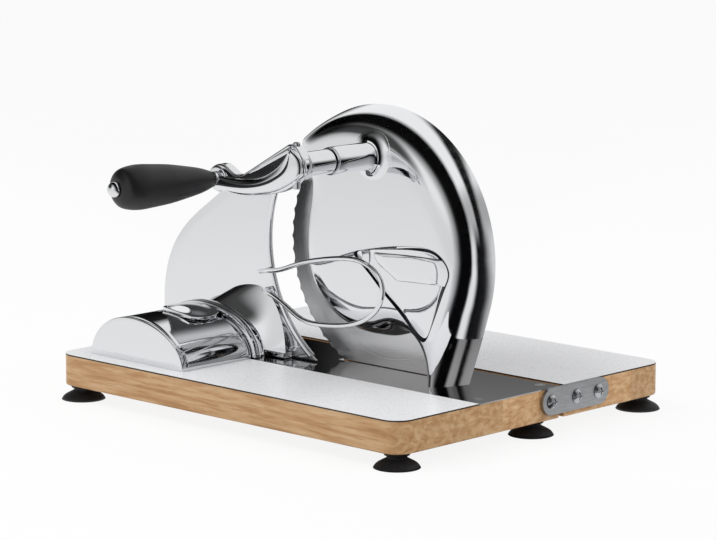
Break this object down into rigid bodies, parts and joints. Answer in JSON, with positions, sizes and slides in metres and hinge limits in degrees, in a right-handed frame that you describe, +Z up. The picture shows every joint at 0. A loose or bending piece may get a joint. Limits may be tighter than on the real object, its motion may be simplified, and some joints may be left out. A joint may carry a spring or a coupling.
{
  "type": "hand-cranked bread slicer",
  "caption": "Hand-cranked bread slicer: chromed cast drive housing with a round serrated blade, sliding slice stop, wire loop and grip crank on a wooden board with a folding rear table.",
  "frame": {"origin": "bottom centre of the bounding box: on the table, midway between the suction feet at the two ends, halfway from the grip cap to the rear feet", "axes": "+Z up, +X along the front edge of the board towards the crank side, +Y from the user towards the folding rear table"},
  "size_m": [0.3514, 0.358, 0.223],
  "materials": {
    "oak": "light oiled wood, grain along the length",
    "laminate": "smooth pale laminate",
    "polished_steel": "polished stainless steel",
    "bright_chrome": "mirror chrome plate",
    "satin_steel": "satin zinc-plated steel",
    "screw_steel": "bright zinc-plated steel",
    "bronze": "sintered bronze",
    "black_rubber": "matte black rubber",
    "black_grip": "satin black moulded plastic"
  },
  "bodies": {
    "base": {"front_board": "oak", "front_panel": "laminate", "bed_plate": "polished_steel", "bed_screws": "screw_steel", "front_cups": "black_rubber", "front_cup_studs": "screw_steel", "pivot_screws": "screw_steel", "drive_housing": "bright_chrome", "housing_screws": "screw_steel", "shaft_bushes": "bronze", "blade_axle": "satin_steel", "blade_washer": "polished_steel", "blade_bolt": "screw_steel", "guide_housing": "bright_chrome", "guide_end_cap": "bright_chrome", "guide_rail": "satin_steel", "guide_screws": "screw_steel"},
    "rear_table": {"rear_board": "oak", "rear_panel": "laminate", "link_plate_left": "satin_steel", "link_plate_right": "satin_steel", "link_screws": "screw_steel", "rear_cups": "black_rubber", "rear_cup_studs": "screw_steel"},
    "stop_carriage": {"stop_bracket": "bright_chrome", "collar_ring": "bright_chrome", "stop_plate": "bright_chrome", "wire_loop": "bright_chrome", "lever_pin": "satin_steel"},
    "lever": {"thumb_lever": "bright_chrome"},
    "crank": {"crank_shaft": "satin_steel", "crank_arm": "bright_chrome", "hub_pin": "bright_chrome", "thrust_washer": "bright_chrome", "drive_pinion": "satin_steel", "pinion_pin": "satin_steel", "grip_pin": "bright_chrome", "grip_cap": "bright_chrome"},
    "handle": {"grip": "black_grip"},
    "cutter": {"blade": "polished_steel", "blade_gear": "satin_steel", "gear_rivets": "screw_steel", "blade_bush": "bronze"}
  },
  "joints": [
    {"name": "crank_turn", "type": "hinge", "parent": "base", "child": "crank", "pos_m": [0.05812, -0.08101, 0.19133], "axis": [0, 1, 0], "continuous": true},
    {"name": "blade_turn", "type": "hinge", "parent": "base", "child": "cutter", "pos_m": [0.0416, 0.02259, 0.1192], "axis": [0, 1, 0], "continuous": true},
    {"name": "grip_spin", "type": "hinge", "parent": "crank", "child": "handle", "pos_m": [-0.01488, -0.09001, 0.17593], "axis": [-0.1392, -0.9903, 0], "continuous": true},
    {"name": "stop_slide", "type": "slide", "parent": "base", "child": "stop_carriage", "axis": [0, 1, 0], "range_m": [0, 0.018]},
    {"name": "lever_press", "type": "hinge", "parent": "stop_carriage", "child": "lever", "pos_m": [-0.1105, -0.05701, 0.0624], "axis": [0, 1, 0], "range_deg": [0, 3], "stiffness_Nm_per_rad": 0.6, "springref_deg": -2.86},
    {"name": "table_fold", "type": "hinge", "parent": "base", "child": "rear_table", "pos_m": [0, 0.04879, 0.0247], "axis": [1, 0, 0], "range_deg": [0, 90]}
  ],
  "couplings": [
    {"joint": "blade_turn", "follows": "crank_turn", "ratio": -0.37037}
  ]
}
